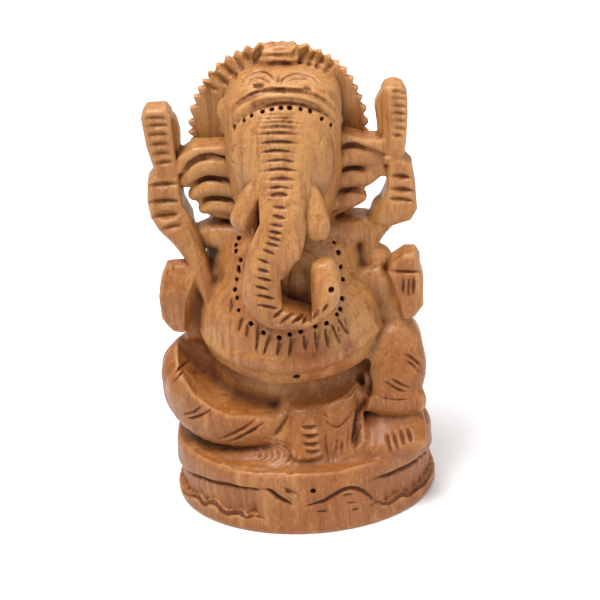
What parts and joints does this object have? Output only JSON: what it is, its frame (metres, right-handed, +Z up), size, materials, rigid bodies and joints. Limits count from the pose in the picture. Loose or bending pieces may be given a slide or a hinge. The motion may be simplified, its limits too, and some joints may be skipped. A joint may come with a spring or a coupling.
{
  "type": "ganesha statuette",
  "caption": "Small carved wooden statuette of a seated four-armed elephant-headed deity with a toothed halo, on an oval plinth; stands on its flat underside.",
  "frame": {"origin": "middle of the plinth's flat underside, under the middle of the bounding box", "axes": "+Z up; the figure faces -Y; +X is to the viewer's right"},
  "size_m": [0.0716, 0.0574, 0.127],
  "materials": {
    "wood": "pale close-grained wood, hand carved, stained warm in the cuts, thin satin polish"
  },
  "bodies": {
    "root": {"carved_figure": "wood"}
  },
  "joints": []
}
